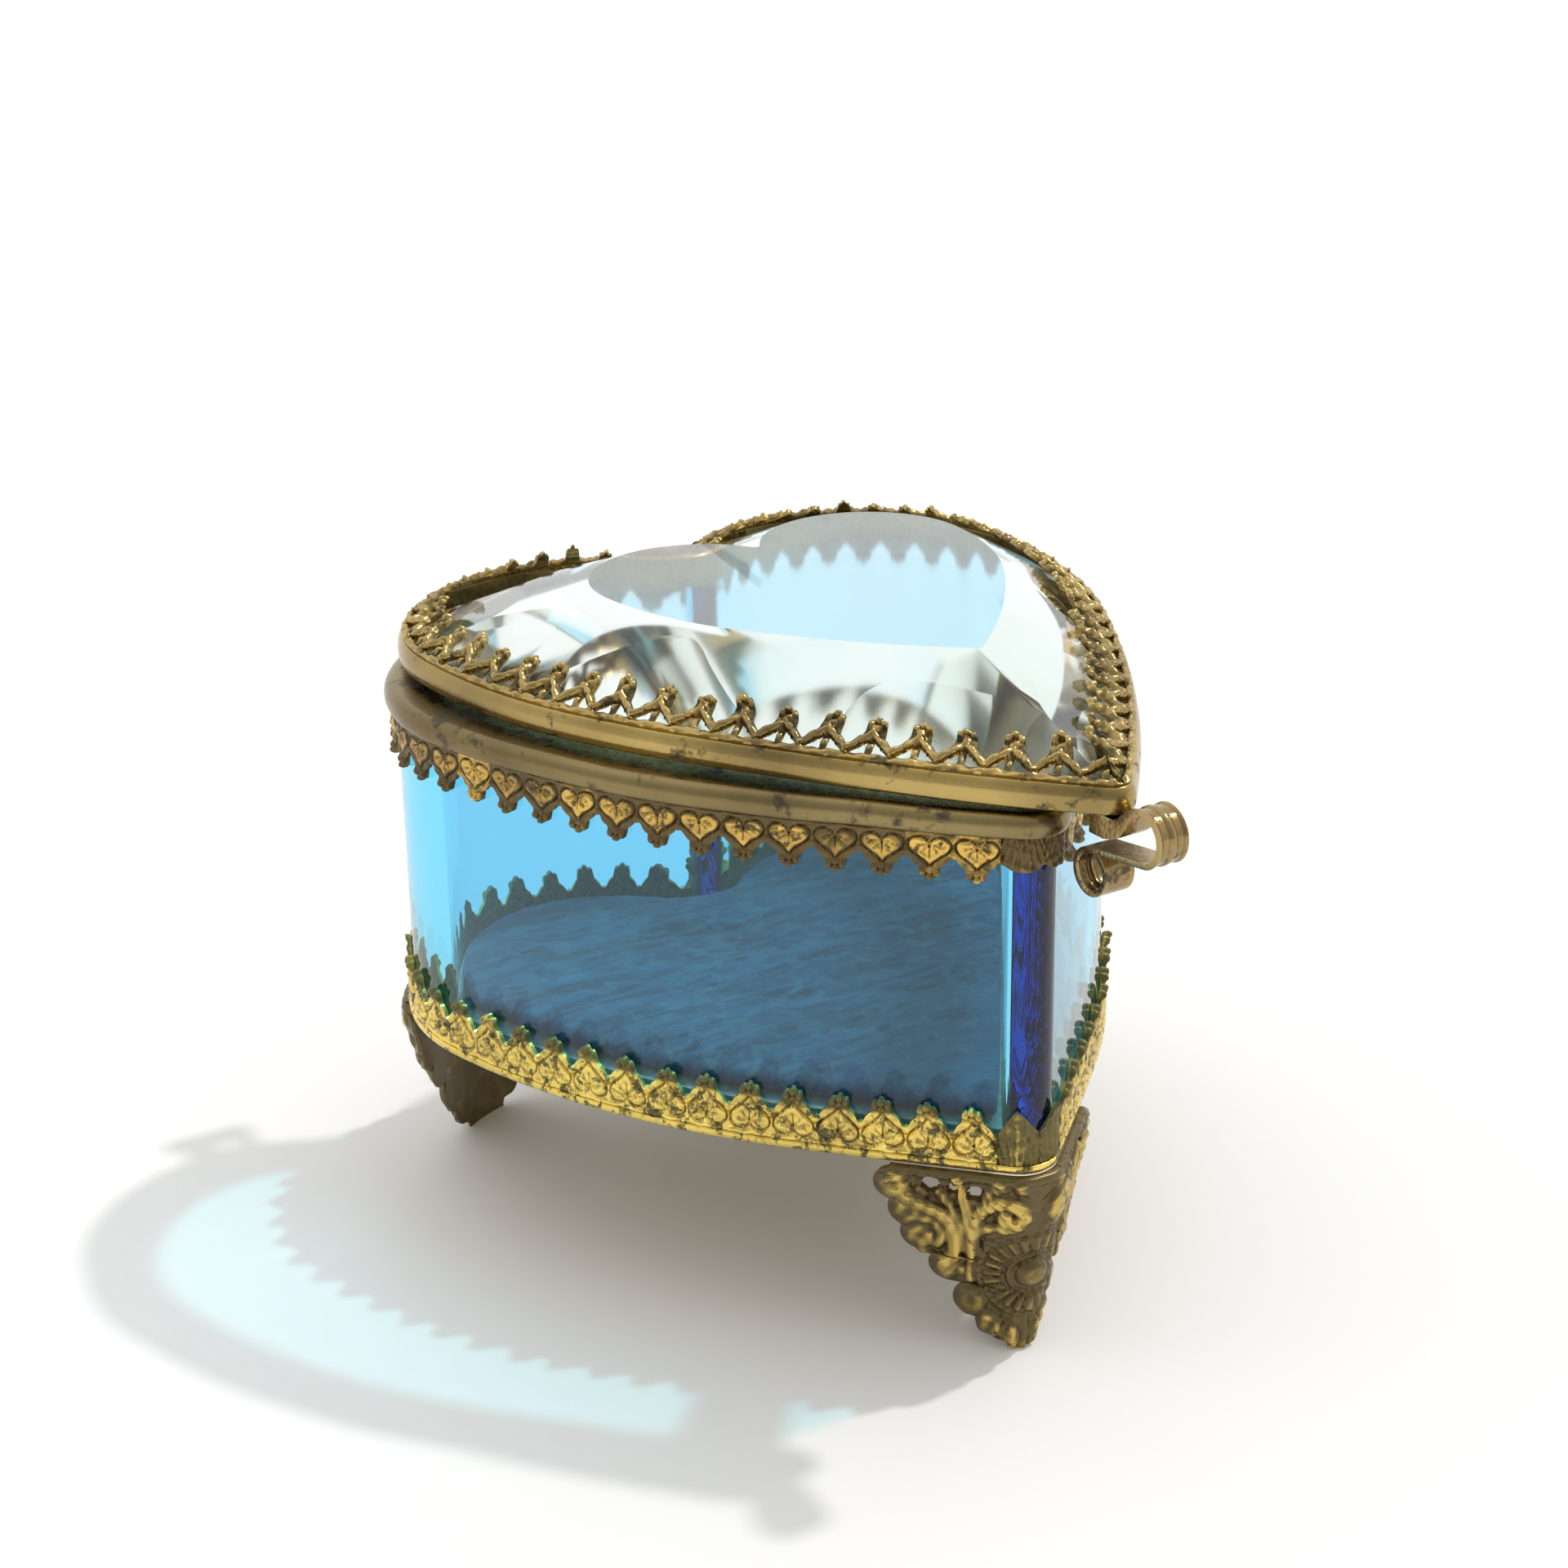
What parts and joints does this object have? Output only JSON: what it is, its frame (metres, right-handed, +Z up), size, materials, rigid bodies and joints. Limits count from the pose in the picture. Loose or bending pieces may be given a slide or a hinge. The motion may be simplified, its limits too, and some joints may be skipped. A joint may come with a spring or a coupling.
{
  "type": "trinket box",
  "caption": "Heart-shaped trinket box with a blue glass wall, gilt brass galleries on scrolled feet and a hinged clear glass lid with a scroll catch.",
  "frame": {"origin": "centre of the box's outline on the plane its feet stand on", "axes": "+Z up; -Y towards the point of the heart, where the lid opens; +Y towards the hinges; +X to the right seen from the point"},
  "size_m": [0.0806, 0.1028, 0.07],
  "materials": {
    "gilt_brass": "worn mercury gilding over stamped brass",
    "aged_brass": "dull brown aged brass",
    "steel": "dull drawn wire",
    "blue_glass": "polished, slightly wavy",
    "clear_glass": "polished and bevelled",
    "silk": "faded grey silk plush, rubbed",
    "lining_card": "plain card"
  },
  "bodies": {
    "case": {"glass_wall": "blue_glass", "lower_mount": "gilt_brass", "base_plate": "aged_brass", "lining_board": "lining_card", "lining_pad": "silk", "lower_gallery": "gilt_brass", "upper_gallery": "gilt_brass", "upper_mount": "aged_brass", "foot_front": "gilt_brass", "foot_rear_right": "gilt_brass", "foot_rear_left": "gilt_brass", "hinge_body_right": "aged_brass", "hinge_body_left": "aged_brass", "hinge_pin_right": "steel", "hinge_pin_left": "steel"},
    "lid": {"lid_frame": "aged_brass", "lid_glass": "clear_glass", "lid_gallery": "gilt_brass", "lid_catch": "aged_brass", "hinge_lid_right": "aged_brass", "hinge_lid_left": "aged_brass"}
  },
  "joints": [
    {"name": "lid_hinge", "type": "hinge", "parent": "case", "child": "lid", "pos_m": [0, 0.04995, 0.0597], "axis": [-1, 0, 0], "range_deg": [0, 105]}
  ]
}
